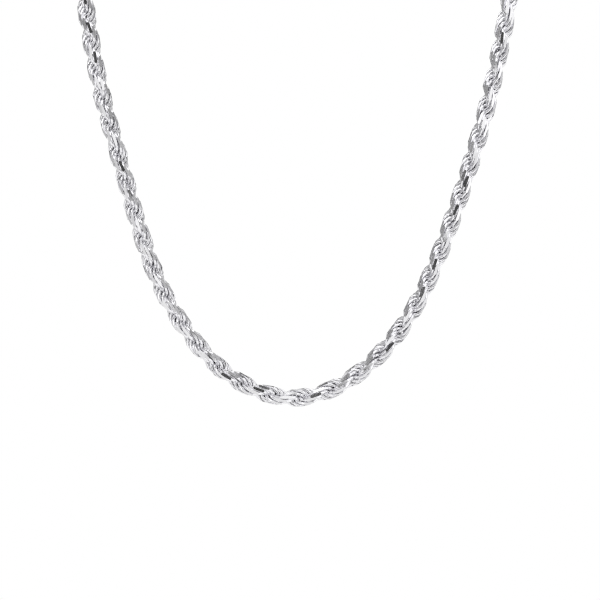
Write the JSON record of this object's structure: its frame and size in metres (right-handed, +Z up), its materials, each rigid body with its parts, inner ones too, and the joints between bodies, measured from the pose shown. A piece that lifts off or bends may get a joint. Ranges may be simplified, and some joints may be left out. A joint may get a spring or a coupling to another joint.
{
  "type": "rope chain necklace",
  "caption": "Polished silver rope chain necklace with a left-hand twist, end caps, jump rings and a plain closed clasp, hanging open as it is worn.",
  "frame": {"origin": "middle of the closed clasp, where the loop hangs on the nape of the neck", "axes": "+Z up, -Y the wearer's front, +X to the right of someone who faces the wearer"},
  "size_m": [0.1122, 0.0868, 0.1584],
  "materials": {
    "rope_silver": "diamond-cut, high polish",
    "findings_silver": "polished"
  },
  "bodies": {
    "root": {"rope_chain": "rope_silver", "end_cap_left": "findings_silver", "end_cap_right": "findings_silver", "jump_ring_left": "findings_silver", "jump_ring_right": "findings_silver", "lobster_clasp": "findings_silver"}
  },
  "joints": []
}
